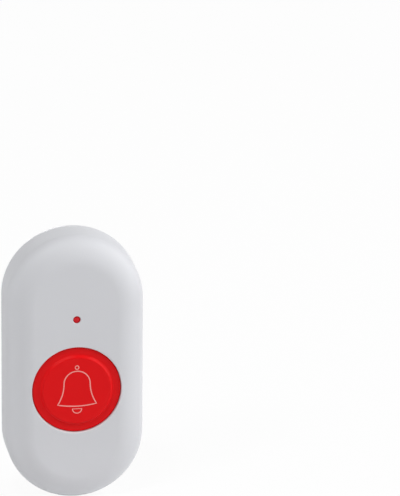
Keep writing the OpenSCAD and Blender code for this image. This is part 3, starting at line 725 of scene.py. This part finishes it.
dome_low, dome_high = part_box("return_dome")
dome_y, foot_y = dome_low.y, dome_high.y
foot_r, bore_r, foot_t = 8 * MM, 6 * MM, 1 * MM
crown_r, crown_t, dome_wall = 4.5 * MM, 0.8 * MM, 0.7 * MM
soft_edge = 0.3 * MM
foot_top_y = foot_y - foot_t
under_y = dome_y + crown_t
# The sloping wall runs into the thick top and the foot with eased corners.
wall_outside = [
    (crown_r, under_y),
    (crown_r + 0.15 * MM, under_y + 0.35 * MM),
    (bore_r + 0.55 * MM, foot_top_y - 0.3 * MM),
    (bore_r + dome_wall + 0.1 * MM, foot_top_y - 0.08 * MM),
    (bore_r + dome_wall + 0.4 * MM, foot_top_y),
]
wall_inside = [
    (bore_r, foot_top_y),
    (crown_r - dome_wall + 0.1 * MM, under_y + 0.2 * MM),
    (crown_r - dome_wall - 0.15 * MM, under_y),
]
dome = turned(
    "silicone_dome",
    [(0, dome_y)]
    + arc((crown_r - soft_edge, dome_y + soft_edge), soft_edge, 90, 0, 5)
    + wall_outside
    + arc((foot_r - soft_edge, foot_top_y + soft_edge), soft_edge, 90, 0, 5)
    + [(foot_r, foot_y), (bore_r, foot_y)]
    + wall_inside
    + [(0, under_y)],
    button_axis,
)
smooth(dome)
# Pale silicone: milky and dull, letting a little light through.
pale_silicone = moulded_plastic(
    "pale_silicone", ("#E4E4DF", "#D9D9D3"),
    {"Roughness": 0.55, "IOR": 1.41, "Subsurface Weight": 0.2, "Subsurface Scale": 0.5 * MM},
    grain=0.5 * MM, depth=0.004 * MM)
dress(dome, pale_silicone, "front_unit", "dome_silicone", "return_dome")
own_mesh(dome)

# Circuit board
# A pill-shaped board of glass-fibre laminate under green solder resist, held on the case's posts.
# Copper tracks lie under the resist and show as slightly raised, lighter lines.


def refinish(finish, *nodes):
    """Gives solids that keep their shape a better material."""
    for node in nodes:
        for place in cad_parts[node].material_slots:
            place.material = finish


def solder_resist():
    """Solder resist: glossy dark green, lighter over the copper tracks, which run in straight bundles.
    The wave texture's bands repeat every pi / (10 * scale)."""
    finish, tree, shader, place = new_finish("solder_resist", {"Roughness": 0.32, "IOR": 1.5})
    track_pitch = 1.3 * MM
    track_height = 0.03 * MM
    patch_size = 9 * MM
    upright, level = [
        add_node(tree, "ShaderNodeTexWave", {"bands_direction": direction}, {
            "Vector": place, "Scale": math.pi / (10 * track_pitch), "Distortion": 0.0})
        for direction in ("X", "Z")
    ]
    patches = add_node(tree, "ShaderNodeTexVoronoi", {"distance": "CHEBYCHEV"}, {
        "Vector": place, "Scale": 1 / patch_size})
    change = add_node(tree, "ShaderNodeMath", {"operation": "GREATER_THAN"}, {
        0: patches.outputs["Color"], 1: 0.5})
    lines = add_node(tree, "ShaderNodeMix", {}, {
        "Factor": change.outputs[0], "A": upright.outputs["Fac"], "B": level.outputs["Fac"]})
    tracks = add_node(tree, "ShaderNodeMapRange", {}, {
        "Value": lines.outputs["Result"], "From Min": 0.72, "From Max": 0.8})
    copper = tracks.outputs[0]
    tint_and_relief(
        tree, shader, copper, ("#0C4A2C", "#1B7045"), copper, strength=0.6, depth=track_height)
    return finish


refinish(solder_resist(), "circuit_board")

# Board screws
# Four thread-forming steel screws with pan heads, zinc plated, which hold the board on its posts.
# The heads are pressed, with a cross recess, and stand on the back of the board.

screw_low, screw_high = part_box("board_screws")
head_y, tip_y = screw_high.y, screw_low.y
board_back_y = board_high.y
screw_head_r, shank_r = 1.9 * MM, 0.95 * MM
head_dome = 0.6 * MM
screw_point = 0.5 * MM
recess_half, recess_slot, recess_depth = 1.2 * MM, 0.3 * MM, 0.7 * MM
dome_r = (screw_head_r ** 2 + head_dome ** 2) / (2 * head_dome)
dome_turn = math.degrees(math.asin(screw_head_r / dome_r))
first_screw = turned(
    "pan_head_screws",
    arc((0, head_y - dome_r), dome_r, -90, -90 + dome_turn, 8)
    + [
        (screw_head_r, board_back_y),
        (shank_r, board_back_y),
        (shank_r, tip_y + screw_point),
        (shank_r / 2, tip_y),
        (0, tip_y),
    ],
    (-post_x, -post_z),
    steps=40,
)
combine(first_screw, "DIFFERENCE", [
    block(
        "cross_recess",
        (-post_x - across, head_y - recess_depth, -post_z - along),
        (-post_x + across, head_y + overrun, -post_z + along),
    )
    for across, along in ((recess_half, recess_slot), (recess_slot, recess_half))
])


def copies(piece, steps):
    """The piece and a copy of it moved by each step, every one with its own mesh."""
    made = [piece]
    for step in steps:
        bpy.ops.object.select_all(action="DESELECT")
        piece.select_set(True)
        bpy.context.view_layer.objects.active = piece
        bpy.ops.object.duplicate()
        copy = bpy.context.object
        bpy.ops.object.mode_set(mode="EDIT")
        bpy.ops.mesh.select_all(action="SELECT")
        bpy.ops.transform.translate(value=step)
        bpy.ops.object.mode_set(mode="OBJECT")
        made.append(copy)
    return made


screws = join(
    copies(first_screw, [(2 * post_x, 0, 0), (0, 0, 2 * post_z), (2 * post_x, 0, 2 * post_z)]),
    "pan_head_screws")
smooth(screws)


def plated_metal(name, colours, constants, grain, stretch=(1, 1, 1)):
    """A plated or drawn metal: reflective, with a faint grain drawn out in the direction of rolling,
    which is finer than the render shows and so drawn coarser."""
    finish, tree, shader, place = new_finish(name, {"Metallic": 1.0, **constants})
    grain_depth = 0.01 * MM
    drawn = add_node(tree, "ShaderNodeMapping", {}, {"Vector": place, "Scale": stretch})
    lines = add_node(tree, "ShaderNodeTexNoise", {}, {
        "Vector": drawn.outputs["Vector"], "Scale": 1 / grain, "Detail": 4})
    grains = lines.outputs["Fac"]
    tint_and_relief(tree, shader, grains, colours, grains, strength=0.3, depth=grain_depth)
    return finish


# Zinc-plated steel: cool bluish grey, bright but slightly cloudy.
zinc_steel = plated_metal(
    "zinc_plated_steel", ("#C4C6CA", "#A9ABB0"), {"Roughness": 0.32}, grain=0.4 * MM)
dress(screws, zinc_steel, "front_unit", "zinc_steel", "board_screws")

# Tactile switch
# The click switch under the dome: a black PBT housing with a pressed steel cover, a round plunger and a
# bowed steel disc that clicks. Four tinned terminals solder it to the board.

# Black PBT: nearly black, satin, with a fine moulded grain.
black_pbt = moulded_plastic(
    "black_pbt", ("#1F1F21", "#18181A"), {"Roughness": 0.5, "IOR": 1.55},
    grain=0.3 * MM, depth=0.004 * MM)
# Nickel-plated spring strip: warm grey with rolling lines.
spring_strip = plated_metal(
    "spring_strip", ("#BDB8AC", "#A39E93"), {"Roughness": 0.28}, grain=0.25 * MM, stretch=(1, 1, 0.1))
# Tinned brass: pale, soft-looking silver.
tinned_brass = plated_metal(
    "tinned_brass", ("#D2D2CE", "#B9B9B4"), {"Roughness": 0.38}, grain=0.3 * MM)
refinish(black_pbt, "switch_housing", "switch_plunger")
refinish(zinc_steel, "switch_cover")
refinish(tinned_brass, "switch_terminals")

click_low, click_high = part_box("snap_disc")
click_r, click_t = click_high.x, 0.12 * MM
click_rise = click_high.y - click_low.y - click_t
bow_r = (click_r ** 2 + click_rise ** 2) / (2 * click_rise)
bow_turn = math.degrees(math.asin(click_r / bow_r))
click_disc = turned(
    "click_disc",
    arc((0, click_low.y + bow_r), bow_r, 90, 90 - bow_turn, 12)
    + arc((0, click_low.y + click_t + bow_r), bow_r, 90 - bow_turn, 90, 12),
    button_axis,
    steps=64,
)
smooth(click_disc)
dress(click_disc, spring_strip, "front_unit", "spring_steel", "snap_disc")
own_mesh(click_disc)

# Signal diode
# A white surface-mounted light diode, soldered to the board below the light pipe.
# Its moulded cup of reflector plastic is filled with clear resin.

# White reflector plastic: matt warm white.
reflector_white = moulded_plastic(
    "reflector_white", ("#EFECE2", "#E8E5DA"), {"Roughness": 0.5, "IOR": 1.55},
    grain=0.3 * MM, depth=0.003 * MM)
# Clear silicone resin tinted by its phosphor: honey yellow with a wet gloss.
diode_resin = moulded_plastic(
    "diode_resin", ("#F0D89A", "#EACD86"), {"Roughness": 0.12, "IOR": 1.5, "Transmission Weight": 0.3},
    grain=0.3 * MM, depth=0.001 * MM)
refinish(reflector_white, "signal_diode")
refinish(diode_resin, "diode_window")

# Coding chip and radio transistor
# Black epoxy packages on the back of the board, moulded round tinned leads that are bent down to it.
# The chip carries a small round mark beside its first lead.

chip_low, chip_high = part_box("coding_chip")
mould_edge = 0.15 * MM
chip = block("chip_body", chip_low, chip_high, mould_edge, segments=2)
mark_r = 0.35 * MM
mark_inset = 0.8 * MM
mark_depth = 0.1 * MM
combine(chip, "DIFFERENCE", [turned(
    "first_lead_mark",
    rod(mark_r, chip_high.y - mark_depth, chip_high.y + overrun),
    (chip_low.x + mark_inset, chip_high.z - mark_inset),
    steps=32,
)])
smooth(chip)
# Moulded epoxy: charcoal black, dull, with a fine sanded grain.
black_epoxy = moulded_plastic(
    "black_epoxy", ("#262628", "#1E1E20"), {"Roughness": 0.6, "IOR": 1.55},
    grain=0.25 * MM, depth=0.006 * MM)
dress(chip, black_epoxy, "front_unit", "chip_epoxy", "coding_chip")
transistor_low, transistor_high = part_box("radio_transistor")
transistor = block("transistor_body", transistor_low, transistor_high, mould_edge, segments=2)
smooth(transistor)
dress(transistor, black_epoxy, "front_unit", "chip_epoxy", "radio_transistor")
refinish(tinned_brass, "chip_leads", "transistor_leads")

# Resonator and small chip parts
# The round can of the radio's resonator, drawn from nickel and welded to a gold-flashed base, and eight
# small ceramic parts: four tan capacitors and four dark resistors with tinned ends.

# Drawn nickel: bright, slightly yellow, with a soft lengthwise sheen.
drawn_nickel = plated_metal(
    "drawn_nickel", ("#D3CEC2", "#BDB8AC"), {"Roughness": 0.22}, grain=0.5 * MM, stretch=(1, 0.15, 1))
# Gold flash on brass: pale gold.
gold_flash = plated_metal(
    "gold_flash", ("#DDB765", "#CBA553"), {"Roughness": 0.3}, grain=0.4 * MM)
# Fired ceramic: tan, matt and slightly speckled.
tan_ceramic = moulded_plastic(
    "tan_ceramic", ("#A98765", "#8F6F50"), {"Roughness": 0.55, "IOR": 1.6},
    grain=0.2 * MM, depth=0.004 * MM)
refinish(drawn_nickel, "resonator_can")
refinish(gold_flash, "resonator_base")
refinish(tan_ceramic, "chip_capacitors")
refinish(black_epoxy, "chip_resistors")
refinish(tinned_brass, "chip_end_caps")

# Antenna coil
# A spring-like coil of enamelled copper wire, wound on a mandrel and soldered to the board by its two legs.
# It is a free-standing coil of eleven and a half turns along the board's edge.

coil_low, coil_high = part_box("antenna_coil")
wire_r = 0.25 * MM
coil_r = 1.35 * MM
coil_pitch = 1.1 * MM
coil_turns = 11.5
turn_steps = 24
coil_x = (coil_low.x + coil_high.x) / 2
coil_y = coil_high.y - wire_r - coil_r
coil_foot_z = -20 * MM
winding = [
    (
        coil_x + coil_r * math.cos(a),
        coil_y + coil_r * math.sin(a),
        coil_foot_z + coil_pitch * a / (2 * math.pi),
    )
    for a in [2 * math.pi * i / turn_steps for i in range(int(coil_turns * turn_steps) + 1)]
]
first_leg, last_leg = [(x, board_back_y, z) for x, y, z in (winding[0], winding[-1])]
draw_line("copper_coil", [first_leg] + winding + [last_leg])
coil = thicken(wire_r, ends=True)
close_up()
smooth(coil, degrees=60)
# Enamelled copper: orange-brown metal under a clear varnish.
enamelled_copper = plated_metal(
    "enamelled_copper", ("#C1703C", "#AB5C2C"),
    {"Roughness": 0.3, "Coat Weight": 0.6, "Coat Roughness": 0.1}, grain=0.4 * MM)
dress(coil, enamelled_copper, "front_unit", "copper_wire", "antenna_coil")

# Cell holder and contacts
# A round tray of black PBT on the back of the board, with a slot for a thumb.
# Two spring strips touch the cell: one lies under it, and a bent clip reaches over its edge.

cell_z = 8 * MM
cell_axis = (0, cell_z)
tray_r, well_r = 11.55 * MM, 10.15 * MM
tray_back_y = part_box("cell_holder")[1].y
tray_floor_y = -6.65 * MM
holder = turned(
    "cell_tray",
    [(0, board_back_y), (tray_r, board_back_y)]
    + arc((tray_r - soft_edge, tray_back_y - soft_edge), soft_edge, 0, -90, 4)
    + arc((well_r + soft_edge, tray_back_y - soft_edge), soft_edge, -90, -180, 4)
    + [(well_r, tray_floor_y), (0, tray_floor_y)],
    cell_axis,
    steps=128,
)
thumb_half, seat_half = 4 * MM, 2.7 * MM
cut_half = 1.9 * MM
combine(holder, "DIFFERENCE", [
    block(
        "tray_cut",
        (-half, tray_floor_y, cell_z + side * tray_r - cut_half),
        (half, tray_back_y + overrun, cell_z + side * tray_r + cut_half),
    )
    for side, half in ((-1, thumb_half), (1, seat_half))
])
smooth(holder)
dress(holder, black_pbt, "front_unit", "black_plastic", "cell_holder")

clip_low, clip_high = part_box("positive_contact")
strip_t = 0.25 * MM
strip_edge = 0.04 * MM
bend = 0.5 * MM
clip_back_y = clip_high.y - strip_t / 2
clip_out_z = clip_high.z - strip_t / 2
clip_line = [(clip_out_z, clip_low.y)] + [
    (clip_out_z - bend + bend * math.cos(a), clip_back_y - bend + bend * math.sin(a))
    for a in quarter_turn
] + [(clip_low.z, clip_back_y)]
clip = draw_line("positive_clip", [(clip_low.x, y, z) for z, y in clip_line])
bpy.ops.mesh.select_all(action="SELECT")
bpy.ops.mesh.extrude_region_move(TRANSFORM_OT_translate={"value": (clip_high.x - clip_low.x, 0, 0)})
close_up()
apply_modifier(clip, "SOLIDIFY", thickness=strip_t, offset=0)
apply_modifier(clip, "BEVEL", width=strip_edge, segments=2, limit_method="ANGLE")
bpy.ops.object.mode_set(mode="EDIT")
close_up()
smooth(clip)
dress(clip, spring_strip, "front_unit", "spring_steel", "positive_contact")
refinish(spring_strip, "negative_contact")

# Coin cell
# A lithium coin cell: a drawn stainless can with its flat positive side towards the wall, a black sealing
# ring and a negative cap. A plus sign is stamped in the can, as cells of every make have.

can_low, can_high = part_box("cell_can")
can_back_y, can_rim_y = can_high.y, can_low.y
can_r, can_in_r = 10 * MM, 8.8 * MM
can_edge, can_t = 0.5 * MM, 0.5 * MM
bead_r = 8.7 * MM
bead_w = 0.12 * MM
can = turned(
    "steel_can",
    [
        (0, can_back_y),
        (bead_r - bead_w, can_back_y),
        (bead_r, can_back_y - bead_w / 2),
        (bead_r + bead_w, can_back_y),
    ]
    + arc((can_r - can_edge, can_back_y - can_edge), can_edge, -90, 0, 6)
    + arc((can_r - can_edge, can_rim_y + can_edge), can_edge, 0, 90, 6)
    + [(can_in_r, can_rim_y), (can_in_r, can_back_y - can_t), (0, can_back_y - can_t)],
    cell_axis,
    steps=160,
)
plus_half, plus_w, plus_depth = 1.8 * MM, 0.22 * MM, 0.08 * MM
plus_drop = 5 * MM
combine(can, "DIFFERENCE", [
    block(
        "plus_stamp",
        (-across, can_back_y - plus_depth, cell_z - plus_drop - along),
        (across, can_back_y + overrun, cell_z - plus_drop + along),
    )
    for across, along in ((plus_half, plus_w), (plus_w, plus_half))
])
smooth(can)
# Drawn stainless steel: bright neutral grey with a fine rolled grain.
stainless = plated_metal(
    "drawn_stainless", ("#D0D2D6", "#BEC0C4"), {"Roughness": 0.26}, grain=0.3 * MM, stretch=(0.08, 1, 1))
dress(can, stainless, "front_unit", "cell_steel", "cell_can")
refinish(black_pbt, "cell_ring_seal")
refinish(stainless, "cell_cap")

# Studio
# A plain white paper floor at the case's lower end, a white surround and six soft lamps. Floor and surround
# are white to the camera, in gloss and through clear plastic, and the floor keeps a shadow.

floor_size = 40
floor_z = cad_box[0].z
bpy.ops.object.select_all(action="DESELECT")
bpy.ops.mesh.primitive_plane_add(size=floor_size, location=(0, 0, 0))
floor = bpy.context.object
floor.name = floor.data.name = "studio_floor"
bpy.ops.object.mode_set(mode="EDIT")
bpy.ops.mesh.select_all(action="SELECT")
bpy.ops.transform.translate(value=(0, 0, floor_z))
bpy.ops.object.mode_set(mode="OBJECT")


def in_plain_sight(tree):
    """An output that is 1 for what is seen directly, in gloss or through clear plastic, and otherwise 0."""
    rays = add_node(tree, "ShaderNodeLightPath", {}, {})
    sight = rays.outputs["Is Camera Ray"]
    for kind in ("Is Glossy Ray", "Is Transmission Ray"):
        either = add_node(tree, "ShaderNodeMath", {"operation": "MAXIMUM"}, {0: sight, 1: rays.outputs[kind]})
        sight = either.outputs[0]
    return sight


# White paper: matt, and so evenly lit that it shows as pure white but for a trace of the shadow.
glow_share = 0.94
paper = bpy.data.materials.new("white_paper")
paper.use_nodes = True
paper_tree = paper.node_tree
paper_tree.nodes.clear()
shown = add_node(paper_tree, "ShaderNodeMath", {"operation": "MULTIPLY"}, {
    0: in_plain_sight(paper_tree), 1: glow_share})
glow = add_node(paper_tree, "ShaderNodeEmission", {}, {"Color": linear("#FFFFFF"), "Strength": 1.0})
matt = add_node(paper_tree, "ShaderNodeBsdfDiffuse", {}, {"Color": linear("#F4F4F4")})
surface = add_node(paper_tree, "ShaderNodeMixShader", {}, {
    0: shown.outputs[0], 1: matt.outputs[0], 2: glow.outputs[0]})
add_node(paper_tree, "ShaderNodeOutputMaterial", {}, {"Surface": surface.outputs[0]})
floor.data.materials.append(paper)

ambient = 0.21
scene = bpy.context.scene
surround = bpy.data.worlds.new("white_surround")
scene.world = surround
surround.use_nodes = True
sky = surround.node_tree
sky.nodes.clear()
level = add_node(sky, "ShaderNodeMapRange", {}, {
    "Value": in_plain_sight(sky), "To Min": ambient, "To Max": 1.0})
white = add_node(sky, "ShaderNodeBackground", {}, {
    "Color": linear("#FFFFFF"), "Strength": level.outputs[0]})
add_node(sky, "ShaderNodeOutputWorld", {}, {"Surface": white.outputs[0]})

lamp_distance = 2.4


def lamp(name, direction, size, watts):
    """A square soft lamp that shines at the object from a direction."""
    away = Vector(direction).normalized()
    turn = away.to_track_quat("Z", "Y")
    bpy.ops.object.light_add(type="AREA", location=away * lamp_distance, rotation=turn.to_euler())
    light = bpy.context.object
    light.name = light.data.name = name
    light.data.size = size
    light.data.energy = watts
    light.visible_camera = False


# The key and right lamps light the case from the right, the top and upper left ones bring out its upper
# edge and the step of the button, and the left and back ones lift the sides that would lie in shade.
lamp("key_lamp", (0.78, -0.22, 0.6), size=1.2, watts=27)
lamp("top_lamp", (-0.2, -0.34, 0.92), size=0.3, watts=12.5)
lamp("upper_left_lamp", (-0.55, -0.45, 0.7), size=0.5, watts=13.5)
lamp("right_lamp", (0.97, -0.22, 0.06), size=1.2, watts=25.5)
lamp("left_lamp", (-0.97, -0.2, 0.05), size=1.0, watts=4)
lamp("back_lamp", (0.0, 1.0, -0.02), size=0.5, watts=20)

# Camera
# A long lens from above and slightly to the left of the case, aimed up and right of it, so that the case
# stands at the lower left of the picture.

azimuth = math.radians(-8.67)
elevation = math.radians(20.09)
roll = math.radians(0.5)
camera_distance = 1.429
aim_right, aim_up = 38.29 * MM, 30.33 * MM
focal_length = 357.2
sight_reach = 20
back = Vector((
    math.sin(azimuth) * math.cos(elevation),
    -math.cos(azimuth) * math.cos(elevation),
    math.sin(elevation),
))
aim = back.to_track_quat("Z", "Y") @ Vector((aim_right, aim_up, 0))
eye = back * camera_distance
facing = (eye - aim).to_track_quat("Z", "Y") @ Quaternion((0, 0, 1), roll)
bpy.ops.object.camera_add(location=eye, rotation=facing.to_euler())
camera = bpy.context.object
camera.data.lens = focal_length
camera.data.clip_end = sight_reach
scene.camera = camera
scene.view_settings.view_transform = "Standard"
